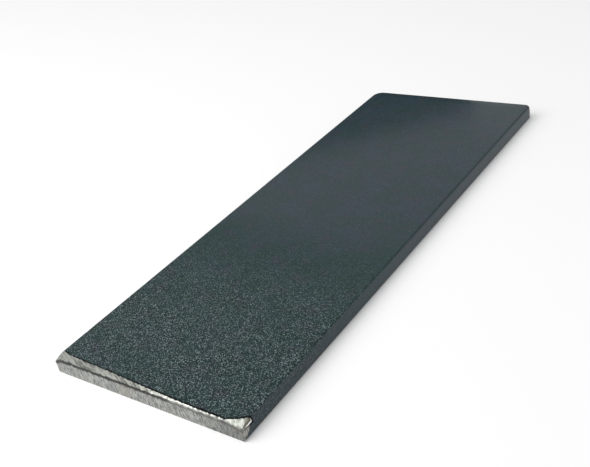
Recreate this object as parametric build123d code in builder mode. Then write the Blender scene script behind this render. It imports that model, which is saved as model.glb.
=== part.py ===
from build123d import *
from math import radians, sin
import os

# A short length of hot-rolled steel flat bar, lying on its wide face.
# Origin at the middle of the underside, +X across the bar, +Y along it, +Z up.
# The sawn end, with its hand-ground edge, is at -Y. Millimetres and degrees.

# Rolled section
bar_width = 80.0
bar_thickness = 6.0
bar_length = 220.0
edge_crown = 0.2
arris_radius = 0.8

# Corners seen from above
far_left_radius = 4.5
far_right_radius = 2.5
near_left_radius = 0.5

# Light break round the far end
far_break = 0.4

# Hand-ground edge of the sawn end: each stroke's distance from the left edge,
# how far it runs in along the top, and how far it drops down the end
ground_strokes = [
    (0.0, 4.4, 1.7),
    (4.0, 3.3, 0.4),
    (12.0, 2.8, 0.4),
    (22.0, 2.5, 0.4),
    (31.0, 1.95, 0.4),
    (43.0, 1.35, 0.45),
    (54.0, 0.85, 0.45),
    (64.0, 0.55, 0.6),
]
last_run = 0.5
last_drop = 0.6

# Ground corner: a cone whose rim on the top face touches the end's edge
corner_reach = 11.5
corner_rim_radius = 17.2
corner_slope = 27.0

# Twisted flat on the upright edge of the ground corner, which fans out towards its head
upright_flat_across = 0.25
upright_flat_foot = 0.7
upright_flat_head = 4.8

# Steep flat on the side's top edge, below the cone, which ends on a slant near the cone's rim
side_flat_drop = 1.85
side_flat_slope = 56.0
side_flat_low_length = 4.4
side_flat_top_length = 3.6

# How far cutting shapes stand clear of the metal
clear = 2.0

left = -bar_width / 2
right = bar_width / 2
near = -bar_length / 2
far = bar_length / 2
top = bar_thickness


def stroke_profile(run, drop):
    """Triangle above one stroke of the ground edge, in Y and Z, standing clear of the metal."""
    inner = (near + 2 * run, top + drop)
    lower = (near - run, top - 2 * drop)
    outer = (near - run, top + drop)
    return [inner, lower, outer]


def upright_profile(along):
    """Triangle outside the upright flat at one height, in X and Y, standing clear of the metal."""
    on_end = (right - 2 * upright_flat_across, near - along)
    on_side = (right + upright_flat_across, near + 2 * along)
    outer = (right + upright_flat_across, near - along)
    return [on_end, outer, on_side]


with BuildPart() as flat_bar:
    # Rolled section: flat faces, slightly crowned edges, softened arrises
    flat_left = left + edge_crown
    flat_right = right - edge_crown
    with BuildSketch(Plane.XZ) as section:
        with BuildLine():
            Line((flat_left, 0), (flat_right, 0))
            ThreePointArc((flat_right, 0), (right, top / 2), (flat_right, top))
            Line((flat_right, top), (flat_left, top))
            ThreePointArc((flat_left, top), (left, top / 2), (flat_left, 0))
        make_face()
        fillet(section.vertices(), arris_radius)
    extrude(amount=bar_length / 2, both=True)

    # Far edges broken lightly after sawing
    far_edges = flat_bar.faces().sort_by(Axis.Y)[-1].edges()
    chamfer(far_edges, far_break)

    # Corners rounded by hand as seen from above, but for the ground one
    with BuildSketch() as plan:
        Rectangle(bar_width, bar_length)
        near_ends, far_ends = plan.vertices().group_by(Axis.Y)
        near_left = near_ends.sort_by(Axis.X)[0]
        far_left, far_right = far_ends.sort_by(Axis.X)
        fillet(near_left, near_left_radius)
        fillet(far_left, far_left_radius)
        fillet(far_right, far_right_radius)
    extrude(amount=bar_thickness, mode=Mode.INTERSECT)

    # Hand-ground edge of the sawn end, stroke by stroke from left to right
    first_run, first_drop = ground_strokes[0][1:]
    strokes = [(left - clear, first_run, first_drop)]
    strokes += [(left + across, run, drop) for across, run, drop in ground_strokes[1:]]
    strokes += [(right + clear, last_run, last_drop)]
    for across, run, drop in strokes:
        with BuildSketch(Plane.YZ.offset(across)):
            with BuildLine():
                Polyline(*stroke_profile(run, drop), close=True)
            make_face()
    loft(ruled=True, mode=Mode.SUBTRACT)

    # Bevel carried round the near right corner
    rim_centre = (right - corner_reach, near + corner_rim_radius)
    cone_fall = Vector(1, 0).rotate(Axis.Z, -corner_slope)
    rim_plane = Plane(origin=(*rim_centre, top), x_dir=(0, -1, 0), z_dir=(-1, 0, 0))
    with BuildSketch(rim_plane):
        with BuildLine():
            rim = Vector(corner_rim_radius, 0)
            inner = rim - cone_fall * clear
            outer = rim + cone_fall * corner_reach
            Polyline(inner, outer, (outer.X, inner.Y), close=True)
        make_face()
    revolve(axis=Axis((*rim_centre, 0), (0, 0, 1)), revolution_arc=90, mode=Mode.SUBTRACT)

    # Upright edge of the ground corner taken off, more and more towards the top
    for height, along in ((0, upright_flat_foot), (top, upright_flat_head)):
        with BuildSketch(Plane.XY.offset(height)):
            with BuildLine():
                Polyline(*upright_profile(along), close=True)
            make_face()
    loft(ruled=True, mode=Mode.SUBTRACT)

    # Steep flat along the side's top edge
    side_climb = side_flat_drop / sin(radians(side_flat_slope))
    side_facing = Vector(0, 0, 1).rotate(Axis.Y, side_flat_slope)
    side_foot = (right, near, top - side_flat_drop)
    with BuildSketch(Plane(origin=side_foot, x_dir=(0, 1, 0), z_dir=side_facing)):
        with BuildLine():
            Polyline(
                (-clear, -clear),
                (side_flat_low_length, -clear),
                (side_flat_low_length, 0),
                (side_flat_top_length, side_climb),
                (side_flat_top_length, side_climb + clear),
                (-clear, side_climb + clear),
                close=True,
            )
        make_face()
    extrude(amount=side_flat_drop + clear, dir=(0, 0, 1), mode=Mode.SUBTRACT)

flat_bar.part.label = "flat_bar"

os.makedirs("parts", exist_ok=True)
export_step(flat_bar.part, "parts/flat_bar.step")
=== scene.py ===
"""A short length of hot-rolled steel flat bar with one sawn, hand-ground end, and a plain studio.

The bar lies on its wide face. +X runs across it, +Y along it away from the ground end, +Z up, and
the origin is the middle of its underside. Everything is in metres, apart from the finishes, whose
places and patterns are in millimetres. In a finish, a scale is a number of ripples or grains per
millimetre, and a band is where a soft step begins and ends.
"""

import logging
import math
from collections.abc import Callable, Mapping
from dataclasses import dataclass, field
from enum import Enum

import bmesh
import bpy
from bmesh.types import BMEdge, BMesh, BMFace, BMVert
from bpy.types import Material, NodeSocket, Object, World
from mathutils import Matrix, Vector, kdtree, noise


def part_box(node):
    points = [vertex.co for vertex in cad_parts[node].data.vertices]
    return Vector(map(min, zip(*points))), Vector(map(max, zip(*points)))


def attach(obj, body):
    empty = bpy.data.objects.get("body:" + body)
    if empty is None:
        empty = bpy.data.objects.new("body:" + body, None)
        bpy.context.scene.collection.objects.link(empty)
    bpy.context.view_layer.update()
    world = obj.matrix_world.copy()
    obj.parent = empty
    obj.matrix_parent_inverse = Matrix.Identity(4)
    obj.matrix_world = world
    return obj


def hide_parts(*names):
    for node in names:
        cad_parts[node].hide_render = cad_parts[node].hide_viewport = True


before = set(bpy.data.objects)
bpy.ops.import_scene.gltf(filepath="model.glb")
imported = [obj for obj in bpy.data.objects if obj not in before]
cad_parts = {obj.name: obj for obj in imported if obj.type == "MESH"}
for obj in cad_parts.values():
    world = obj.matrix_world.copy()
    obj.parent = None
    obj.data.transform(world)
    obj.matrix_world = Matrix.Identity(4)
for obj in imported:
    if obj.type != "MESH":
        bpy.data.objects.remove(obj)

logging.basicConfig(level=logging.INFO, format="%(message)s")
log = logging.getLogger("flat_bar")

MM = 0.001
TOUCH = 1e-6  # Two places nearer than this count as one.
PARALLEL = 0.999  # The least cosine to an axis at which an edge counts as lying along it.
STEEL_IOR = 1.45
WHITE = (1.0, 1.0, 1.0)
NODE = "flat_bar"
MIX_COLOURS, MIX_RESULT = (6, 7), 2  # A Mix node's sockets for colours.
SPECK_CORE, SPECK_SURE = 0.4, 0.8  # The share of a speck that is solid, and of the specks that are whole.
Triple = tuple[float, float, float]
Colour = Triple
Band = tuple[float, float]


class Finish(Enum):
    """The finishes on the bar, in the order of its material slots."""

    SCALE = 0
    EDGE_SCALE = 1
    SAWN = 2
    GROUND = 3
    CORNER_FLAT = 4


def ease(value: float, low: float, high: float) -> float:
    """How far a value is from low to high, from 0 to 1, with a soft start and end."""
    share = min(1.0, max(0.0, (value - low) / (high - low)))
    return share * share * (3 - 2 * share)


@dataclass(frozen=True)
class Ripples:
    """Smooth noise: how far it reaches either way, and its ripples per millimetre along each axis."""

    depth: float
    scales: Triple

    def at(self, place: Vector) -> float:
        """The noise at a place."""
        scaled = Vector([value / MM * scale for value, scale in zip(place, self.scales)])
        return self.depth * noise.noise(scaled)


@dataclass
class Wire:
    """One socket of a material's nodes, on which shader maths is written as a Python expression."""

    sheet: "NodeSheet"
    socket: NodeSocket

    def _maths(self, operation: str, *values: "Wire | float") -> "Wire":
        """Adds one Math node and returns its result."""
        return self.sheet.node("ShaderNodeMath", {"operation": operation}, dict(enumerate(values)))

    def __add__(self, other: "Wire | float") -> "Wire":
        """self + other."""
        return self._maths("ADD", self, other)

    def __sub__(self, other: "Wire | float") -> "Wire":
        """self - other."""
        return self._maths("SUBTRACT", self, other)

    def __rsub__(self, other: float) -> "Wire":
        """other - self."""
        return self._maths("SUBTRACT", other, self)

    def __mul__(self, other: "Wire | float") -> "Wire":
        """self * other."""
        return self._maths("MULTIPLY", self, other)

    __radd__ = __add__
    __rmul__ = __mul__

    def step(self, low: float, high: float, start: float = 0.0, end: float = 1.0) -> "Wire":
        """A soft step.

        Args:
            low: The value at which the step begins.
            high: The value at which it ends.
            start: The result below the step.
            end: The result above it.

        Returns:
            The stepped value.
        """
        settings = {"interpolation_type": "SMOOTHSTEP"}
        sockets = {"Value": self, "From Min": low, "From Max": high, "To Min": start, "To Max": end}
        return self.sheet.node("ShaderNodeMapRange", settings, sockets)


class NodeSheet:
    """The nodes of one material, or of the world."""

    def __init__(self, owner: Material | World) -> None:
        """Starts an empty sheet.

        Args:
            owner: The material or world that the nodes belong to.
        """
        owner.use_nodes = True
        self.owner = owner
        self.tree = owner.node_tree
        self.tree.nodes.clear()

    @classmethod
    def material(cls, name: str) -> "NodeSheet":
        """Starts the sheet of a new material."""
        return cls(bpy.data.materials.new(name))

    def node(self, kind: str, settings: Mapping[str, object], sockets: Mapping, out: str | int = 0) -> Wire:
        """Adds one node.

        Args:
            kind: The node's type.
            settings: Its own settings, set before its sockets.
            sockets: Values or wires for its inputs, by name or number.
            out: The output that is returned.

        Returns:
            The output, as a wire.
        """
        made = self.tree.nodes.new(kind)
        for name, value in settings.items():
            setattr(made, name, value)
        for name, value in sockets.items():
            if isinstance(value, Wire):
                self.tree.links.new(value.socket, made.inputs[name])
            else:
                made.inputs[name].default_value = value
        return Wire(self, made.outputs[out] if made.outputs else None)

    def place(self, turn: Triple = (0, 0, 0), stretch: Triple = (1, 1, 1)) -> Wire:
        """Where a point is on the bar, in millimetres, turned and stretched for a pattern.

        Args:
            turn: Angles about X, Y and Z in degrees.
            stretch: A factor along each axis, after the turn.

        Returns:
            The place.
        """
        here = self.node("ShaderNodeTexCoord", {}, {}, "Object")
        angles = tuple(math.radians(angle) for angle in turn)
        turned = self.node("ShaderNodeMapping", {}, {"Vector": here, "Rotation": angles})
        scale = tuple(factor / MM for factor in stretch)
        return self.node("ShaderNodeVectorMath", {"operation": "MULTIPLY"}, {0: turned, 1: scale})

    def distance(self, place: Wire, axis: str) -> Wire:
        """How far a place lies along one axis."""
        return self.node("ShaderNodeSeparateXYZ", {}, {"Vector": place}, axis)

    def cloud(self, place: Wire, scale: float, detail: float = 2.0, rough: float = 0.5) -> Wire:
        """Soft noise about 0.5, with its number of ripples per millimetre."""
        sockets = {"Vector": place, "Scale": scale, "Detail": detail, "Roughness": rough}
        return self.node("ShaderNodeTexNoise", {}, sockets)

    def grains(self, place: Wire, scale: float) -> Wire:
        """Small grains side by side, by their number per millimetre, each with a value from 0 to 1."""
        grain = self.node("ShaderNodeTexVoronoi", {}, {"Vector": place, "Scale": scale}, "Color")
        return self.node("ShaderNodeSeparateColor", {}, {"Color": grain}, "Red")

    def specks(self, place: Wire, scale: float, share: float, size: float) -> Wire:
        """Separate round specks.

        Args:
            place: Where the point is.
            scale: The number of cells per millimetre.
            share: The share of cells that hold a speck.
            size: A speck's radius as a share of its cell.

        Returns:
            1 in a speck and 0 outside.
        """
        near = self.node("ShaderNodeTexVoronoi", {}, {"Vector": place, "Scale": scale}, "Distance")
        held = self.grains(place, scale).step(1 - share, 1 - share * SPECK_SURE)
        return near.step(size * SPECK_CORE, size, 1.0, 0.0) * held

    def mix(self, low: Wire | Colour, high: Wire | Colour, share: Wire | float) -> Wire:
        """A colour between two colours.

        Args:
            low: The colour at a share of 0.
            high: The colour at a share of 1.
            share: How far it goes from the first to the second.

        Returns:
            The colour.
        """
        ends = [(*end, 1.0) if isinstance(end, tuple) else end for end in (low, high)]
        sockets = {"Factor": share, **dict(zip(MIX_COLOURS, ends))}
        return self.node("ShaderNodeMix", {"data_type": "RGBA"}, sockets, MIX_RESULT)

    def mark(self, name: str) -> Wire:
        """A number kept on the mesh's points under a name."""
        return self.node("ShaderNodeAttribute", {"attribute_name": name}, {}, "Fac")

    def surface(
        self,
        colour: Wire,
        rough: Wire,
        metal: Wire | float,
        height: Wire,
        relief: float,
        ior: float = STEEL_IOR,
    ) -> None:
        """Ends the sheet with a surface.

        Args:
            colour: Its colour.
            rough: Its roughness.
            metal: How far it is bare metal.
            height: Its fine relief, from 0 to 1.
            relief: The height of that relief in metres.
            ior: Its index of refraction where it isn't metal.
        """
        bump = self.node("ShaderNodeBump", {}, {"Height": height, "Distance": relief}, "Normal")
        sockets = {"Base Color": colour, "Roughness": rough, "Metallic": metal, "Normal": bump, "IOR": ior}
        shader = self.node("ShaderNodeBsdfPrincipled", {}, sockets)
        self.node("ShaderNodeOutputMaterial", {}, {"Surface": shader})


@dataclass(frozen=True)
class MillScale:
    """Dark blue-grey rolling scale: coarse dark grain with glints near the ground end, smoother beyond.

    Its darkest grains are partly their own dark tone and partly painted shade in the pits, and its glints
    are painted highlights.
    """

    name: str = "mill_scale"
    green: Colour = (0.022, 0.045, 0.041)
    blue: Colour = (0.029, 0.048, 0.061)
    violet: Colour = (0.038, 0.043, 0.056)
    # Partly the grain's own dark tone, partly painted shade in its pits.
    pit_tone_and_shade: Colour = (0.001, 0.003, 0.004)
    glint: Colour = (0.46, 0.56, 0.58)
    # The torn colour is painted shade along the scale's torn edge, partly that edge's dark oxide.
    torn: Colour = (0.002, 0.003, 0.004)
    coarse_band: Band = (-88.0, -14.0)
    coarse_least: float = 0.12
    grain_scale: float = 4.4
    grain_depth: float = 0.56
    pit_tone_and_shade_band: Band = (0.12, 0.76)
    glint_band: Band = (0.74, 1.0)
    glint_strength: float = 0.62
    glint_metal: float = 0.4
    patch_scale: float = 0.11
    patch_detail: float = 3.0
    patch_turn: float = 40.0
    dense_band: Band = (0.35, 0.65)
    dense_least: float = 0.75
    blue_band: Band = (0.40, 0.62)
    blue_share: float = 0.5
    far_band: Band = (-40.0, 0.0)
    far_blue: float = 0.5
    violet_turn: float = 70.0
    violet_ratio: float = 1.7
    violet_band: Band = (0.52, 0.70)
    violet_share: float = 0.7
    roughness: float = 0.42
    far_roughness: float = 0.10
    rough_spread: float = 0.3
    relief: float = 0.03 * MM
    ior: float = 1.18

    def made(self) -> Material:
        """Builds the material.

        Returns:
            The material.
        """
        sheet = NodeSheet.material(self.name)
        here = sheet.place()
        along = sheet.distance(here, "Y")
        coarse = along.step(*self.coarse_band, 1.0, self.coarse_least)
        grain = sheet.grains(here, self.grain_scale)
        dense = sheet.cloud(here, self.patch_scale).step(*self.dense_band, self.dense_least, 1.0) * coarse
        pits_tone_and_shade = (1 - grain).step(*self.pit_tone_and_shade_band) * dense * self.grain_depth
        glints = grain.step(*self.glint_band) * dense * self.glint_strength
        turned = sheet.place(turn=(0, 0, self.patch_turn))
        patch = sheet.cloud(turned, self.patch_scale, self.patch_detail)
        bluer = patch.step(*self.blue_band) * self.blue_share + along.step(*self.far_band, 0.0, self.far_blue)
        turned = sheet.place(turn=(0, 0, self.violet_turn))
        other = sheet.cloud(turned, self.patch_scale * self.violet_ratio)
        colour = sheet.mix(self.green, self.blue, bluer)
        colour = sheet.mix(colour, self.violet, other.step(*self.violet_band) * self.violet_share)
        # The darkest grains: partly their own tone, partly painted shade in the pits; the glints are painted
        # highlights.
        colour = sheet.mix(colour, self.pit_tone_and_shade, pits_tone_and_shade)
        colour = sheet.mix(colour, self.glint, glints)
        # Painted shade along the scale's torn edge, partly its dark oxide.
        colour = sheet.mix(colour, self.torn, sheet.mark("torn"))
        rough = along.step(*self.far_band, self.roughness, self.far_roughness)
        rough = rough + (grain - 0.5) * self.rough_spread * dense
        sheet.surface(colour, rough, glints * self.glint_metal, grain * dense, self.relief, self.ior)
        return sheet.owner


def lit_edge_scale() -> MillScale:
    """The scale on the bar's sides: a paler copy of the top's scale, which paints light onto them, with less
    grain.
    """
    tints = {"green": (0.074, 0.098, 0.108), "blue": (0.078, 0.101, 0.117), "violet": (0.087, 0.098, 0.119)}
    return MillScale(name="lit_edge_scale", grain_depth=0.45, glint_strength=0.22, **tints)


@dataclass(frozen=True)
class SawnSteel:
    """Bare grey steel with fine upright saw marks, faint warm and violet tints, a few dark nicks, and painted
    shade in the deepest grooves of the marks.
    """

    name: str = "sawn_steel"
    pale: Colour = (0.46, 0.47, 0.44)
    deep: Colour = (0.19, 0.20, 0.185)
    shade_band: Band = (0.42, 0.57)
    lean: float = 3.0
    stretch: float = 0.14
    mark_scale: float = 1.3
    mark_rough: float = 0.6
    fine_ratio: float = 2.7
    fine_share: float = 0.6
    dull: Colour = (0.15, 0.155, 0.145)
    dull_band: Band = (18.0, 37.0)
    flat_band: Band = (39.65, 39.75)
    dull_share: float = 0.6
    warm: Colour = (0.30, 0.26, 0.225)
    violet: Colour = (0.26, 0.25, 0.27)
    tint_scale: float = 0.13
    tint_band: Band = (0.54, 0.72)
    warm_share: float = 0.4
    violet_share: float = 0.5
    # Dark nicks; the same colour is painted shade in the deepest grooves of the fine marks.
    nick_and_groove_shade: Colour = (0.04, 0.04, 0.04)
    groove_shade_band: Band = (0.55, 0.64)
    groove_shade_share: float = 0.8
    nick_scale: float = 0.8
    nick_cells: float = 0.15
    nick_size: float = 0.25
    nick_share: float = 0.6
    # The dark line under the burr along the crease is painted shade.
    burr_shade: Colour = (0.012, 0.011, 0.010)
    burr_shade_metal: float = 0.3
    roughness: float = 0.38
    rough_spread: float = 0.2
    relief: float = 0.03 * MM

    def made(self) -> Material:
        """Builds the material.

        Returns:
            The material.
        """
        sheet = NodeSheet.material(self.name)
        here = sheet.place()
        across = sheet.distance(here, "X")
        along = sheet.place(turn=(0, self.lean, 0), stretch=(1, 1, self.stretch))
        marks = sheet.cloud(along, self.mark_scale, rough=self.mark_rough)
        fine = sheet.cloud(along, self.mark_scale * self.fine_ratio, rough=self.mark_rough)
        shade = marks * (1 - self.fine_share) + fine * self.fine_share
        warmth = sheet.cloud(here, self.tint_scale)
        nicks = sheet.specks(here, self.nick_scale, self.nick_cells, self.nick_size)
        dulled = across.step(*self.dull_band) * across.step(*self.flat_band, 1.0, 0.0)
        colour = sheet.mix(self.deep, self.pale, shade.step(*self.shade_band))
        colour = sheet.mix(colour, self.dull, dulled * self.dull_share)
        # Painted shade in the deepest grooves of the fine marks, where the relief is lowest.
        colour = sheet.mix(colour, self.nick_and_groove_shade, (1 - fine).step(*self.groove_shade_band) * self.groove_shade_share)
        colour = sheet.mix(colour, self.warm, warmth.step(*self.tint_band) * self.warm_share)
        colour = sheet.mix(colour, self.violet, (1 - warmth).step(*self.tint_band) * self.violet_share)
        colour = sheet.mix(colour, self.nick_and_groove_shade, nicks * self.nick_share)
        # Painted shade under the burr along the crease.
        colour = sheet.mix(colour, self.burr_shade, sheet.mark("burr_shade"))
        rough = self.roughness + (fine - 0.5) * self.rough_spread
        metal = sheet.mark("burr_shade").step(0.0, 1.0, 1.0, self.burr_shade_metal)
        sheet.surface(colour, rough, metal, shade, self.relief)
        return sheet.owner


@dataclass(frozen=True)
class GroundSteel:
    """Bright bare steel with the fine scratches that a file leaves along the edge."""

    name: str = "ground_steel"
    pale: Colour = (0.38, 0.39, 0.36)
    corner_pale: Colour = (0.29, 0.30, 0.275)
    deep: Colour = (0.13, 0.135, 0.12)
    shade_band: Band = (0.41, 0.57)
    corner_band: Band = (28.0, 34.0)
    skew: float = 20.0
    corner_skew: float = 38.0
    stretch: float = 0.14
    mark_scale: float = 1.9
    mark_detail: float = 3.0
    mark_rough: float = 0.7
    fine_share: float = 0.6
    coarse_ratio: float = 0.35
    # The dark line under the burr along the crease is painted shade.
    burr_shade: Colour = (0.012, 0.011, 0.010)
    burr_shade_metal: float = 0.3
    roughness: float = 0.32
    rough_spread: float = 0.2
    relief: float = 0.02 * MM

    def made(self) -> Material:
        """Builds the material.

        Returns:
            The material.
        """
        sheet = NodeSheet.material(self.name)
        across = sheet.distance(sheet.place(), "X")
        turned = across.step(*self.corner_band)
        edge, corner = self._marks(sheet, self.skew), self._marks(sheet, self.corner_skew)
        shade = edge * (1 - turned) + corner * turned
        pale = sheet.mix(self.pale, self.corner_pale, turned)
        colour = sheet.mix(self.deep, pale, shade.step(*self.shade_band))
        # Painted shade under the burr along the crease.
        colour = sheet.mix(colour, self.burr_shade, sheet.mark("burr_shade"))
        rough = self.roughness + (shade - 0.5) * self.rough_spread
        metal = sheet.mark("burr_shade").step(0.0, 1.0, 1.0, self.burr_shade_metal)
        sheet.surface(colour, rough, metal, shade, self.relief)
        return sheet.owner

    def _marks(self, sheet: NodeSheet, skew: float) -> Wire:
        """Long scratches, fine ones over coarser ones.

        Args:
            sheet: The material's sheet.
            skew: How far they are turned off the edge, in degrees.

        Returns:
            Their depth, about 0.5.
        """
        along = sheet.place(turn=(0, 0, skew), stretch=(self.stretch, 1, 1))
        fine = sheet.cloud(along, self.mark_scale, self.mark_detail, self.mark_rough)
        coarse = sheet.cloud(along, self.mark_scale * self.coarse_ratio)
        return fine * self.fine_share + coarse * (1 - self.fine_share)


@dataclass(frozen=True)
class FlatSteel:
    """Bare olive steel of the steep corner flat, darkening with painted shade towards its foot, with a
    painted highlight along the rim there.
    """

    name: str = "corner_flat"
    pale: Colour = (0.42, 0.42, 0.38)
    # Painted shade: the flat darkens to this towards its foot.
    deep: Colour = (0.13, 0.125, 0.10)
    # Painted highlight along the rim at its foot.
    rim_highlight: Colour = (0.97, 0.97, 0.95)
    foot_shade_band: Band = (38.7, 39.65)
    rim_highlight_band: Band = (39.72, 39.78)
    waver: float = 0.35
    skew: float = 70.0
    stretch: float = 0.2
    mark_scale: float = 2.4
    mark_detail: float = 3.0
    mark_rough: float = 0.7
    roughness: float = 0.30
    rough_spread: float = 0.2
    relief: float = 0.015 * MM

    def made(self) -> Material:
        """Builds the material.

        Returns:
            The material.
        """
        sheet = NodeSheet.material(self.name)
        across = sheet.distance(sheet.place(), "X")
        along = sheet.place(turn=(0, 0, self.skew), stretch=(self.stretch, 1, 1))
        marks = sheet.cloud(along, self.mark_scale, self.mark_detail, self.mark_rough)
        place = across + (marks - 0.5) * self.waver
        # Painted shade towards the foot.
        colour = sheet.mix(self.pale, self.deep, place.step(*self.foot_shade_band))
        # Painted highlight along the rim.
        colour = sheet.mix(colour, self.rim_highlight, place.step(*self.rim_highlight_band))
        rough = self.roughness + (marks - 0.5) * self.rough_spread
        sheet.surface(colour, rough, 1.0, marks, self.relief)
        return sheet.owner


class Bench:
    """One mesh object that is worked on in edit mode, with its faces and edges picked by a test."""

    def __init__(self, name: str) -> None:
        """Takes the primitive that was just added and opens it in edit mode.

        Args:
            name: The object's name.
        """
        self.piece = bpy.context.object
        self.piece.name = name
        bpy.ops.object.transform_apply(location=True, rotation=True, scale=True)
        bpy.ops.object.mode_set(mode="EDIT")

    @staticmethod
    def clear() -> None:
        """Deselects every object, before one is added or worked on."""
        bpy.ops.object.select_all(action="DESELECT")

    def pick_faces(self, wanted: Callable[[BMFace], bool]) -> int:
        """Selects the faces that pass a test, and nothing else, and returns how many."""
        return self._pick("FACE", wanted)

    def pick_edges(self, wanted: Callable[[BMEdge], bool]) -> int:
        """Selects the edges that pass a test, and nothing else, and returns how many."""
        return self._pick("EDGE", wanted)

    def _pick(self, kind: str, wanted: Callable) -> int:
        """Selects the faces or the edges that pass a test, and nothing else.

        Args:
            kind: FACE or EDGE.
            wanted: The test.

        Returns:
            How many were selected.
        """
        bpy.ops.mesh.select_mode(type=kind)
        bpy.ops.mesh.select_all(action="DESELECT")
        shape = bmesh.from_edit_mesh(self.piece.data)
        picked = [part for part in (shape.faces if kind == "FACE" else shape.edges) if wanted(part)]
        for part in picked:
            part.select_set(True)
        bmesh.update_edit_mesh(self.piece.data)
        return len(picked)

    def rows(self, axis: Vector, places: list[float]) -> None:
        """Cuts the faces into rows.

        Args:
            axis: The direction across the rows.
            places: Where the cuts are along it.
        """
        for place in places:
            bpy.ops.mesh.select_all(action="SELECT")
            bpy.ops.mesh.bisect(plane_co=axis * place, plane_no=axis)

    def divide(self, axis: Vector, step: float, where: Callable[[Vector], bool]) -> None:
        """Divides the edges that run along an axis, and so the faces between them.

        Args:
            axis: The direction of the edges.
            step: About how long each part of an edge becomes.
            where: Whether an edge is divided, by its middle.
        """

        def cuts(edge: BMEdge) -> int:
            """The cuts that an edge needs.

            Args:
                edge: The edge.

            Returns:
                How many they are.
            """
            run = edge.verts[1].co - edge.verts[0].co
            middle = (edge.verts[0].co + edge.verts[1].co) / 2
            if abs(run.normalized().dot(axis)) < PARALLEL or not where(middle):
                return 0
            return round(run.length / step) - 1

        counts = {cuts(edge) for edge in bmesh.from_edit_mesh(self.piece.data).edges}
        for count in sorted(counts - {0, -1}):
            self.pick_edges(lambda edge: cuts(edge) == count)
            bpy.ops.mesh.subdivide(number_cuts=count)

    def finish(self, finish: Finish, wanted: Callable[[BMFace], bool]) -> None:
        """Gives a finish to some faces.

        Args:
            finish: The finish.
            wanted: The test that its faces pass.
        """
        self.pick_faces(wanted)
        self.piece.active_material_index = finish.value
        bpy.ops.object.material_slot_assign()

    def close(self) -> Object:
        """Leaves edit mode and returns the object."""
        bpy.ops.object.mode_set(mode="OBJECT")
        return self.piece

    def move(self, place: Callable[[Vector], Vector]) -> None:
        """Moves every vertex.

        Args:
            place: The rule that gives each one its new place.
        """
        bpy.ops.object.mode_set(mode="OBJECT")
        for vertex in self.piece.data.vertices:
            vertex.co = place(vertex.co)
        bpy.ops.object.mode_set(mode="EDIT")


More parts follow.
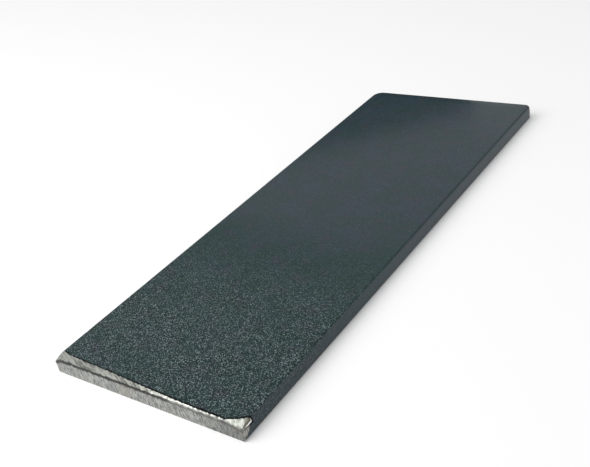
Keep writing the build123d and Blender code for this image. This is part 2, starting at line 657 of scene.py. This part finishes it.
@dataclass
class RolledBlank:
    """The bar as it left the rolls and the saw, before its edge was ground.

    A face is a side or an end where its normal lies far enough along that axis. The waves of the top
    reach their full depth some widths of the near strip in.
    """

    low: Vector
    high: Vector
    finishes: list[Material]
    arris: float = 0.8 * MM
    arris_steps: int = 5
    far_left: float = 4.5 * MM
    far_right: float = 2.5 * MM
    corner_steps: int = 9
    saw_grid: float = 0.2 * MM
    far_grid: float = 0.5 * MM
    wide_grid: float = 2.0 * MM
    near_strip: float = 6.0 * MM
    crown: float = 0.2 * MM
    side_facing: float = 0.7
    end_facing: float = 0.98
    saw_depth: float = 0.035 * MM
    saw_lean: float = 0.07
    saw_marks: tuple[Ripples, ...] = (Ripples(0.7, (0.9, 0, 0.12)), Ripples(0.3, (2.6, 0, 0.2)))
    sag: float = 0.02 * MM
    sag_waves: Ripples = Ripples(1.0, (0.05, 0.03, 0))
    sag_strips: int = 3

    def made(self) -> Object:
        """Builds the blank.

        Returns:
            The object, with its finishes in its material slots.
        """
        Bench.clear()
        middle = (self.low + self.high) / 2
        bpy.ops.mesh.primitive_cube_add(size=1, location=middle, scale=self.high - self.low)
        bench = Bench("flat_bar_steel")
        for material in self.finishes:
            bench.piece.data.materials.append(material)
        self._round_far_corners(bench)
        self._soften_arrises(bench)
        self._grid(bench)
        self._dress(bench)
        bench.move(self._relief)
        return bench.close()

    def _round_far_corners(self, bench: Bench) -> None:
        """Rounds the two upright edges at the far end.

        Args:
            bench: The blank in edit mode.
        """
        for side, radius in ((self.low.x, self.far_left), (self.high.x, self.far_right)):
            corner = Vector((side, self.high.y, 0))
            bench.pick_edges(lambda edge: self._over(edge, corner))
            bpy.ops.mesh.bevel(offset=radius, segments=self.corner_steps, affect="EDGES")

    def _soften_arrises(self, bench: Bench) -> None:
        """Rounds the long edges and the edges round the far end, above and below."""
        bench.pick_edges(lambda edge: self._level(edge) and not self._at_near_end(edge))
        bpy.ops.mesh.bevel(offset=self.arris, segments=self.arris_steps, affect="EDGES")

    def _grid(self, bench: Bench) -> None:
        """Divides the faces into cells fine enough for the relief that each one carries.

        Args:
            bench: The blank in edit mode.
        """
        across, along, up = Vector((1, 0, 0)), Vector((0, 1, 0)), Vector((0, 0, 1))
        strip = self.low.y + self.near_strip
        inset = self.arris + self.saw_grid
        bench.rows(across, [self.low.x + inset, self.high.x - inset])
        bench.rows(along, [strip, self.high.y - self.far_left])
        bench.rows(up, [self.low.z + inset, self.high.z - inset])
        bench.divide(across, self.wide_grid, lambda place: True)
        bench.divide(along, self.wide_grid, lambda place: place.y > strip)
        bench.divide(up, self.far_grid, lambda place: True)
        bench.move(self._crowned)

        def near_or_above(place: Vector) -> bool:
            """Whether a place lies on the near end or on top of the strip beside it."""
            on_end, on_top = place.y < self.low.y + TOUCH, place.z > self.high.z - self.arris
            return place.y < strip + self.saw_grid and (on_end or on_top)

        bench.divide(across, self.saw_grid, near_or_above)
        bench.divide(along, self.saw_grid, lambda place: place.y < strip)
        bench.divide(up, self.saw_grid, lambda place: place.y < strip)
        bench.divide(across, self.far_grid, lambda place: place.y > self.high.y - TOUCH)
        bench.divide(up, self.far_grid, lambda place: place.y > self.high.y - TOUCH)

    def _dress(self, bench: Bench) -> None:
        """Gives each face its finish: scale as rolled, or bare where it was sawn.

        Args:
            bench: The blank in edit mode.
        """
        bench.finish(Finish.SCALE, lambda face: True)
        # The sides take the paler copy of the scale, which paints light onto them.
        bench.finish(Finish.EDGE_SCALE, lambda face: abs(face.normal.x) > self.side_facing)
        bench.finish(Finish.SAWN, lambda face: abs(face.normal.y) > self.end_facing)

    def _crowned(self, place: Vector) -> Vector:
        """Where a vertex goes for the slightly crowned sides."""
        height = 2 * (place.z - self.low.z) / (self.high.z - self.low.z) - 1
        return Vector((place.x * (1 - self.crown * height ** 2 / self.high.x), place.y, place.z))

    def _relief(self, place: Vector) -> Vector:
        """Where a vertex goes for the saw marks on the ends and the slight waves of the top.

        Args:
            place: Where it is.

        Returns:
            Where it goes.
        """
        moved = place.copy()
        if min(place.y - self.low.y, self.high.y - place.y) < TOUCH:
            leaning = Vector((place.x + place.z * self.saw_lean, place.y, place.z))
            moved.y += self.saw_depth * sum(mark.at(leaning) for mark in self.saw_marks)
        elif place.z > self.high.z - TOUCH:
            whole = self.low.y + self.sag_strips * self.near_strip
            share = ease(place.y, self.low.y + self.near_strip, whole)
            moved.z += self.sag * (self.sag_waves.at(place) - 1) * 0.5 * share
        return moved

    @staticmethod
    def _over(edge: BMEdge, corner: Vector) -> bool:
        """Whether an edge stands upright over a corner of the plan."""
        return all((vertex.co.xy - corner.xy).length < TOUCH for vertex in edge.verts)

    @staticmethod
    def _level(edge: BMEdge) -> bool:
        """Whether an edge lies level."""
        return abs(edge.verts[0].co.z - edge.verts[1].co.z) < TOUCH

    def _at_near_end(self, edge: BMEdge) -> bool:
        """Whether an edge lies along the near end."""
        return max(vertex.co.y for vertex in edge.verts) < self.low.y + TOUCH


@dataclass
class GroundEdge:
    """What the file took off the near end's top edge, as a solid to cut away.

    A stroke is its distance from the left edge, how far it runs in along the top, and how far it
    drops down the end. The ragged noise grows towards the top, and the waver towards the end's face,
    each from a share of the way that is quiet.
    """

    low: Vector
    high: Vector
    finish: Material
    strokes: tuple[Triple, ...] = (
        (-1.5 * MM, 4.9 * MM, 2.1 * MM),
        (0.0 * MM, 4.4 * MM, 1.7 * MM),
        (1.5 * MM, 3.9 * MM, 1.0 * MM),
        (4.0 * MM, 3.3 * MM, 0.42 * MM),
        (12.0 * MM, 2.8 * MM, 0.42 * MM),
        (22.0 * MM, 2.5 * MM, 0.42 * MM),
        (31.0 * MM, 1.95 * MM, 0.42 * MM),
        (43.0 * MM, 1.35 * MM, 0.45 * MM),
        (54.0 * MM, 0.85 * MM, 0.45 * MM),
        (64.0 * MM, 0.55 * MM, 0.60 * MM),
        (82.0 * MM, 0.50 * MM, 0.60 * MM),
    )
    clear: float = 1.5 * MM
    depth: float = 3.0 * MM
    columns: int = 410
    across: int = 26
    overrun: float = 0.6
    corner_reach: float = 11.5 * MM
    rim_radius: float = 17.2 * MM
    rim_share: float = 0.95
    corner_slope: float = math.radians(27)
    scratch: float = 0.02 * MM
    scratch_skew: float = math.radians(20)
    scratches: tuple[Ripples, ...] = (Ripples(0.6, (0.12, 0.9, 0)), Ripples(0.4, (0.3, 2.6, 0)))
    ragged: Ripples = Ripples(0.28 * MM, (1.1, 0, 0))
    waver: Ripples = Ripples(0.12 * MM, (0.7, 0, 0))
    quiet: float = 0.3

    def made(self) -> Object:
        """Builds the cutting solid.

        Returns:
            The object. Its lower skin is the ground surface.
        """
        Bench.clear()
        wide = self.high.x - self.low.x + 2 * self.clear
        bpy.ops.mesh.primitive_grid_add(x_subdivisions=self.columns, y_subdivisions=self.across, size=1)
        bpy.context.object.scale = (wide, 1, 1)
        bench = Bench("ground_edge_cut")
        bench.piece.data.materials.append(self.finish)
        bench.move(self._lay)
        bench.pick_faces(lambda face: True)
        bpy.ops.mesh.extrude_region_move(TRANSFORM_OT_translate={"value": (0, -self.depth, self.depth)})
        bpy.ops.mesh.select_all(action="SELECT")
        bpy.ops.mesh.normals_make_consistent(inside=False)
        return bench.close()

    def _stroke(self, across: float) -> tuple[float, float]:
        """The ground edge at one place.

        Args:
            across: The distance from the left edge.

        Returns:
            How far it runs in along the top, and how far it drops down the end.
        """
        for (start, *first), (end, *last) in zip(self.strokes, self.strokes[1:]):
            if across <= end:
                share = (across - start) / (end - start)
                return tuple(a + (b - a) * share for a, b in zip(first, last))
        return self.strokes[-1][1:]

    def _lay(self, place: Vector) -> Vector:
        """Where a point of the flat grid goes on the ground surface.

        Args:
            place: Where it is on the grid.

        Returns:
            Where it goes.
        """
        run, drop = self._stroke(place.x - self.low.x)
        turned = place.x - (self.high.x - self.corner_reach)
        if turned > 0:
            bounded = min(turned, self.rim_radius * self.rim_share)
            rim = self.rim_radius - math.sqrt(self.rim_radius ** 2 - bounded ** 2)
            fall = (math.hypot(bounded, self.rim_radius) - self.rim_radius) * math.tan(self.corner_slope)
            run, drop = max(run, rim), max(drop, fall)
        share = (place.y + 0.5) * (1 + 2 * self.overrun) - self.overrun
        torn = self.ragged.at(place) * ease(share, self.quiet, 1.0)
        uneven = self.waver.at(place) * ease(1 - share, self.quiet, 1.0)
        laid = Vector((place.x, self.low.y + share * run + torn, self.high.z - (1 - share) * drop - uneven))
        laid.z += self._scratches(laid)
        return laid

    def _scratches(self, place: Vector) -> float:
        """How high the metal stands between the scratches at a point of the ground surface."""
        skewed = Matrix.Rotation(self.scratch_skew, 3, "Z") @ place
        return self.scratch * sum(mark.at(skewed) for mark in self.scratches)


@dataclass
class FiledFlat:
    """One flat filed on a corner, as a solid to cut away.

    Its four corners are the two ends of its foot and the two ends of its head, and it may be twisted.
    A rim along its foot may be left standing.
    """

    name: str
    finish: Material
    corners: tuple[Vector, Vector, Vector, Vector]
    outward: Vector
    cuts: int
    rim_height: float = 0.0
    rim_start: float = 0.0
    rim_width: float = 1.0
    rim_uneven: Ripples = Ripples(0.4, (0, 1.3, 0))

    def made(self) -> Object:
        """Builds the cutting solid.

        Returns:
            The object.
        """
        Bench.clear()
        bpy.ops.mesh.primitive_cube_add(size=1)
        bench = Bench(self.name)
        bench.piece.data.materials.append(self.finish)
        bpy.ops.mesh.subdivide(number_cuts=self.cuts)
        bench.move(self._lay)
        bpy.ops.mesh.normals_make_consistent(inside=False)
        return bench.close()

    def _lay(self, place: Vector) -> Vector:
        """Where a point of the unit cube goes.

        Args:
            place: Where it is in the cube.

        Returns:
            Where it goes on the flat, or above it.
        """
        along, up, out = (value + 0.5 for value in place)
        foot_start, foot_end, head_start, head_end = self.corners
        foot, head = foot_start.lerp(foot_end, along), head_start.lerp(head_end, along)
        climb = (head - foot) * up
        over = 2 * (climb.length - self.rim_start) / self.rim_width - 1
        rim = self.rim_height * math.sqrt(max(0.0, 1 - over * over)) * (1 + self.rim_uneven.at(foot))
        facing = (foot_end - foot_start).cross(head_start - foot_start).normalized()
        return foot + climb + facing * rim * (1 - out) + self.outward * out


@dataclass
class FiledCorner:
    """The flats filed at the near end's corners: two at the right, and a light break at the left."""

    low: Vector
    high: Vector
    finishes: list[Material]
    across: float = 0.25 * MM
    foot: float = 0.7 * MM
    head: float = 4.8 * MM
    drop: float = 1.85 * MM
    slope: float = math.radians(56)
    low_length: float = 4.4 * MM
    top_length: float = 3.6 * MM
    rim_height: float = 0.11 * MM
    rim_width: float = 0.42 * MM
    left_break: float = 0.3 * MM
    clear: float = 0.5 * MM
    stand: float = 3.0 * MM
    upright_cuts: int = 11
    steep_cuts: int = 44

    def upright(self) -> FiledFlat:
        """The upright flat, which fans out towards its head.

        Returns:
            The flat.
        """
        corners = []
        for height in (self.low.z - self.clear, self.high.z + self.clear):
            along = self.foot + (self.head - self.foot) * (height - self.low.z) / (self.high.z - self.low.z)
            corners.append(Vector((self.high.x - 2 * self.across, self.low.y - along, height)))
            corners.append(Vector((self.high.x + self.across, self.low.y + 2 * along, height)))
        return self._sawn("upright_flat_cut", corners, Vector((1, -1, 0)))

    def left(self) -> FiledFlat:
        """The light break of the near left upright edge.

        Returns:
            The flat.
        """
        reach = self.left_break + self.clear
        corners = []
        for height in (self.low.z - self.clear, self.high.z + self.clear):
            corners.append(Vector((self.low.x - self.clear, self.low.y + reach, height)))
            corners.append(Vector((self.low.x + reach, self.low.y - self.clear, height)))
        return self._sawn("left_break_cut", corners, Vector((-1, -1, 0)))

    def steep(self) -> FiledFlat:
        """The steep flat, which ends on a slant near the cone's rim.

        Returns:
            The flat.
        """
        climb = self.drop / math.sin(self.slope)
        foot = Vector((self.high.x, self.low.y, self.high.z - self.drop))
        up = Vector((-math.cos(self.slope), 0, math.sin(self.slope)))
        corners = []
        for height in (-self.clear, climb + self.clear):
            length = self.low_length + (self.top_length - self.low_length) * height / climb
            corners.append(foot + up * height - Vector((0, self.clear, 0)))
            corners.append(foot + up * height + Vector((0, length, 0)))
        finish, outward = self.finishes[Finish.CORNER_FLAT.value], Vector((0, 0, self.stand))
        rim = {"rim_height": self.rim_height, "rim_start": self.clear, "rim_width": self.rim_width}
        return FiledFlat("steep_flat_cut", finish, tuple(corners), outward, self.steep_cuts, **rim)

    def _sawn(self, name: str, corners: list[Vector], outward: Vector) -> FiledFlat:
        """An upright flat with the sawn end's finish, by the ends of its foot and of its head."""
        finish = self.finishes[Finish.SAWN.value]
        return FiledFlat(name, finish, tuple(corners), outward * self.stand, self.upright_cuts)


@dataclass
class FlatBar:
    """The whole bar: the rolled blank with its edge ground.

    The dark line along the scale's torn edge, partly its oxide and partly painted shade, and the painted
    shade under the burr along the crease are marks on the mesh's points, full over a share of their width.
    The torn edge's line is thinner to the left, and the shade under the burr heavier there and thinner above.
    """

    near_reach: float = 14.0 * MM
    line_width: float = 0.8
    line_uneven: Ripples = Ripples(0.45, (0.9, 0.9, 0.9))
    full_share: float = 0.6
    torn_shade_width: float = 1.15 * MM
    torn_shade_thin: float = 0.65
    torn_shade_thin_until: float = -10.0 * MM
    torn_shade_thick_from: float = 20.0 * MM
    burr_shade_width: float = 1.15 * MM
    burr_shade_thinner: float = 2.0
    burr_shade_strength: float = 0.62
    burr_shade_heavier: float = 0.55
    burr_shade_heavy_until: float = 14.0 * MM
    burr_shade_fade: float = 6.0 * MM
    burr_shade_uneven: Ripples = Ripples(0.35, (0.35, 0, 0))
    burr_hang: Vector = field(default_factory=lambda: Vector((0, -1, -0.6)))
    burr_reach: float = 0.10 * MM
    hang_share: float = 0.6
    hang_uneven: Ripples = Ripples(1.0, (1.3, 0, 0))
    smooth_angle: float = math.radians(28)

    def build(self) -> Object:
        """Builds the bar, fits it to the frame and hides the plain solid that it stands for.

        Returns:
            The finished piece.
        """
        low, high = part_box(NODE)
        kinds = (MillScale(), lit_edge_scale(), SawnSteel(), GroundSteel(), FlatSteel())
        finishes = [kind.made() for kind in kinds]
        blank = RolledBlank(Vector(low), Vector(high), finishes)
        bar = blank.made()
        log.info("blank: %d faces", len(bar.data.polygons))
        corner = FiledCorner(blank.low, blank.high, finishes)
        ground = GroundEdge(blank.low, blank.high, finishes[Finish.GROUND.value])
        for cut in (corner.left(), corner.upright(), ground, corner.steep()):
            solid = cut.made()
            log.info("%s: %d faces", solid.name, len(solid.data.polygons))
            self._grind(bar, solid)
        self._mark(bar)
        bpy.ops.object.shade_smooth_by_angle(angle=self.smooth_angle)
        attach(bar, "root")
        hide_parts(NODE)
        return bar

    @staticmethod
    def _grind(bar: Object, cut: Object) -> None:
        """Cuts one solid away and removes it.

        Args:
            bar: The bar.
            cut: The cutting solid.
        """
        Bench.clear()
        bar.select_set(True)
        bpy.context.view_layer.objects.active = bar
        grind = bar.modifiers.new("grind", "BOOLEAN")
        grind.operation, grind.solver, grind.object = "DIFFERENCE", "EXACT", cut
        grind.material_mode = "TRANSFER"
        bpy.ops.object.modifier_apply(modifier=grind.name)
        bpy.data.objects.remove(cut)

    def _mark(self, bar: Object) -> None:
        """Marks the painted shade along the scale's torn edge, partly its oxide, and under the burr along the
        crease, and draws the burr out.

        Args:
            bar: The bar, already ground.
        """
        shape = bmesh.new()
        shape.from_mesh(bar.data)
        # A new layer moves the ones before it, so both are made before either is taken.
        for name in ("torn", "burr_shade"):
            shape.verts.layers.float.new(name)
        torn, burr_shade = (shape.verts.layers.float[name] for name in ("torn", "burr_shade"))
        _, from_scale = self._line(shape, {Finish.SCALE.value, Finish.EDGE_SCALE.value})
        burr_line, from_burr = self._line(shape, {Finish.SAWN.value})
        near_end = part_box(NODE)[0][1]
        for vertex in shape.verts:
            place = vertex.co.copy()
            if place.y > near_end + self.near_reach:
                continue
            uneven = self.line_width + self.line_uneven.at(place)
            # Painted shade along the scale's torn edge, partly its dark oxide, thinner to the left.
            thicker = ease(place.x, self.torn_shade_thin_until, self.torn_shade_thick_from)
            thick = self.torn_shade_width * uneven * (self.torn_shade_thin + (1 - self.torn_shade_thin) * thicker)
            vertex[torn] = 1 - ease(from_scale.find(place)[2], thick * self.full_share, thick)
            # Painted shade under the burr along the crease, heavier to the left and thinner above it.
            nearest, _, gap = from_burr.find(place)
            if place.z > nearest.z:
                gap *= self.burr_shade_thinner
            leftward = ease(self.burr_shade_heavy_until - place.x, 0.0, self.burr_shade_fade)
            heavy = self.burr_shade_strength + self.burr_shade_heavier * leftward + self.burr_shade_uneven.at(place)
            thick = self.burr_shade_width * uneven
            vertex[burr_shade] = min(1.0, heavy) * (1 - ease(gap, thick * self.full_share, thick))
        for vertex in burr_line:
            vertex.co += self.burr_hang * self.burr_reach * (self.hang_share + self.hang_uneven.at(vertex.co))
        shape.to_mesh(bar.data)
        shape.free()

    @staticmethod
    def _line(shape: BMesh, others: set[int]) -> tuple[list[BMVert], kdtree.KDTree]:
        """The points along which the ground surface meets other finishes.

        Args:
            shape: The bar's mesh.
            others: The other finishes, by number.

        Returns:
            The points, in the mesh's order, and a search tree over them.
        """
        ground = {Finish.GROUND.value, Finish.CORNER_FLAT.value}
        found = set()
        for edge in shape.edges:
            sides = {face.material_index for face in edge.link_faces}
            if sides & ground and sides & others:
                found.update(edge.verts)
        points = sorted(found, key=lambda vertex: vertex.index)
        tree = kdtree.KDTree(len(points))
        for number, vertex in enumerate(points):
            tree.insert(vertex.co, number)
        tree.balance()
        return points, tree


@dataclass(frozen=True)
class SoftLamp:
    """A square lamp at a distance, turned towards the ground end.

    Its glow is the brightness of its face, where 1 is white.
    """

    name: str
    towards: Triple
    size: float
    glow: float
    distance: float = 1.2

    def build(self, target: Vector) -> None:
        """Adds the lamp.

        Args:
            target: The point that it lights.
        """
        towards = Vector(self.towards).normalized()
        turned = towards.to_track_quat("Z", "Y").to_euler()
        bpy.ops.object.light_add(type="AREA", location=target + towards * self.distance, rotation=turned)
        lamp = bpy.context.object
        lamp.name = self.name
        lamp.data.shape = "SQUARE"
        lamp.data.size = self.size
        lamp.data.energy = self.glow * math.pi * self.size ** 2


@dataclass
class Studio:
    """A plain pale floor, a pale surround, soft lamps, and a dark card that the far end reflects.

    The floor's lift is the glow that makes it white to the eye. It grows by far_lift over far_band,
    which is a distance from the bar in millimetres.
    """

    floor_size: float = 12.0
    floor_colour: Colour = (0.86, 0.86, 0.86)
    patch_scale: float = 0.02
    patch_detail: float = 3.0
    patch_share: float = 0.06
    lift: float = 0.16
    far_lift: float = 0.50
    far_band: Band = (350.0, 2000.0)
    surround: float = 0.40
    lamps: tuple[SoftLamp, ...] = (
        SoftLamp("side_lamp", (-0.50, -0.50, 0.70), 1.0, 3.0),
        SoftLamp("top_lamp", (-0.08, -0.10, 0.98), 0.8, 2.0),
    )
    lamps_aim: Vector = field(default_factory=lambda: Vector((0.0, -0.11, 0.0)))
    card_colour: Colour = (0.01, 0.01, 0.01)
    card_foot: Vector = field(default_factory=lambda: Vector((-0.84, 0.80, 0.0)))
    card_width: float = 1.0
    card_height: float = 0.54

    def build(self) -> None:
        """Builds the floor, the card, the surround and the lamps."""
        Bench.clear()
        bpy.ops.mesh.primitive_plane_add(size=self.floor_size)
        floor = Bench("floor").close()
        floor.data.materials.append(self._floor_finish())
        self._card()
        self._surround()
        for lamp in self.lamps:
            lamp.build(self.lamps_aim)

    def _card(self) -> None:
        """Builds the dark card beyond the far end, there only for what the steel reflects."""
        Bench.clear()
        turned = Vector((self.card_foot.x, self.card_foot.y, 0)).to_track_quat("Z", "Y").to_euler()
        middle = self.card_foot + Vector((0, 0, self.card_height / 2))
        bpy.ops.mesh.primitive_plane_add(size=1, location=middle, rotation=turned)
        bpy.context.object.scale = (self.card_width, self.card_height, 1)
        card = Bench("dark_card").close()
        sheet = NodeSheet.material("dark_card")
        glossy = sheet.node("ShaderNodeLightPath", {}, {}, "Is Glossy Ray")
        clear = sheet.node("ShaderNodeBsdfTransparent", {}, {})
        dark = sheet.node("ShaderNodeBsdfDiffuse", {}, {"Color": (*self.card_colour, 1.0)})
        both = sheet.node("ShaderNodeMixShader", {}, {"Fac": glossy, 1: clear, 2: dark})
        sheet.node("ShaderNodeOutputMaterial", {}, {"Surface": both})
        card.data.materials.append(sheet.owner)

    def _floor_finish(self) -> Material:
        """A pale matt finish, lifted to white for the eye and for what the steel reflects.

        Returns:
            The floor's material.
        """
        sheet = NodeSheet.material("pale_floor")
        patches = sheet.cloud(sheet.place(), self.patch_scale, self.patch_detail)
        colour = sheet.mix(self.floor_colour, WHITE, patches * self.patch_share)
        seen = self._seen(sheet)
        matt = sheet.node("ShaderNodeBsdfDiffuse", {}, {"Color": colour})
        away = sheet.node("ShaderNodeVectorMath", {"operation": "LENGTH"}, {0: sheet.place()}, "Value")
        strength = seen * (self.lift + away.step(*self.far_band) * self.far_lift)
        lift = sheet.node("ShaderNodeEmission", {}, {"Strength": strength})
        both = sheet.node("ShaderNodeAddShader", {}, {0: matt, 1: lift})
        sheet.node("ShaderNodeOutputMaterial", {}, {"Surface": both})
        return sheet.owner

    @staticmethod
    def _seen(sheet: NodeSheet) -> Wire:
        """Tells what is looked at from what only gives light.

        Args:
            sheet: The sheet that it is worked out on.

        Returns:
            1 for what the camera or a glossy or clear surface sees, and 0 for the light on the object.
        """
        kinds = ("Is Camera Ray", "Is Glossy Ray", "Is Transmission Ray")
        camera, glossy, clear = (sheet.node("ShaderNodeLightPath", {}, {}, kind) for kind in kinds)
        return (camera + glossy + clear).step(0.0, 1.0)

    def _surround(self) -> None:
        """Builds a world that is white to the eye and gives a softer, plain light."""
        world = bpy.data.worlds.new("surround")
        bpy.context.scene.world = world
        sheet = NodeSheet(world)
        seen = self._seen(sheet)
        strength = self.surround + seen * (1 - self.surround)
        glow = sheet.node("ShaderNodeBackground", {}, {"Color": (*WHITE, 1.0), "Strength": strength})
        sheet.node("ShaderNodeOutputWorld", {}, {"Surface": glow})


@dataclass
class Viewpoint:
    """The camera, at the photograph's viewing angle, with its focal length in the photograph's pixels."""

    photo_width: float = 590.0
    focal_pixels: float = 862.8
    sensor: float = 36.0
    place: Vector = field(default_factory=lambda: Vector((177.6, -234.0, 172.7)) * MM)
    aim: Vector = field(default_factory=lambda: Vector((-4.0, -17.6, 6.0)) * MM)
    roll: float = math.radians(-11.64)
    clip: float = 10.0 * MM

    def build(self) -> None:
        """Adds the camera and makes it the scene's."""
        turned = (self.aim - self.place).to_track_quat("-Z", "Y").to_matrix().to_4x4()
        turned = turned @ Matrix.Rotation(self.roll, 4, "Z")
        bpy.ops.object.camera_add(location=self.place, rotation=turned.to_euler())
        camera = bpy.context.object
        camera.data.sensor_width = self.sensor
        camera.data.lens = self.sensor * self.focal_pixels / self.photo_width
        camera.data.clip_start = self.clip
        bpy.context.scene.camera = camera


def main() -> None:
    """Builds the bar, the studio and the camera."""
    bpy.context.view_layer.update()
    bpy.context.scene.view_settings.view_transform = "Standard"
    bar = FlatBar().build()
    log.info("%s: %d faces", bar.name, len(bar.data.polygons))
    Studio().build()
    Viewpoint().build()


if __name__ == "__main__":
    main()
